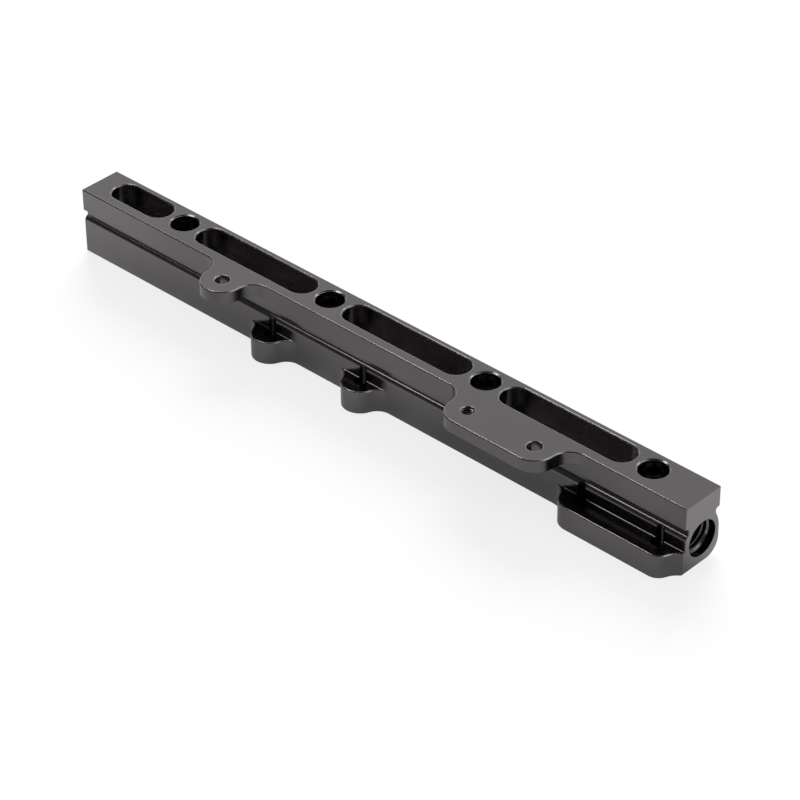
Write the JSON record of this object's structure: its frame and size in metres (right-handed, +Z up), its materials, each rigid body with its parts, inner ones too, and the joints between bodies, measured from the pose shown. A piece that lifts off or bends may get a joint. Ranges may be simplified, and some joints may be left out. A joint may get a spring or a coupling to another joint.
{
  "type": "fuel rail",
  "caption": "Straight machined aluminium fuel rail with a lengthwise gallery, threaded end ports, a row of injector sockets, mounting flanges and tapped bosses.",
  "frame": {"origin": "on the underside, at mid-length, straight below the axis of the fuel gallery", "axes": "+X along the rail to the end by the long boss, +Z up out of the injector sockets, -Y to the side with the lug, the pad and the bosses"},
  "size_m": [0.367, 0.0424, 0.034],
  "materials": {
    "black_anodised_aluminium": "black anodised, glossy satin"
  },
  "bodies": {
    "root": {"rail_body": "black_anodised_aluminium"}
  },
  "joints": []
}
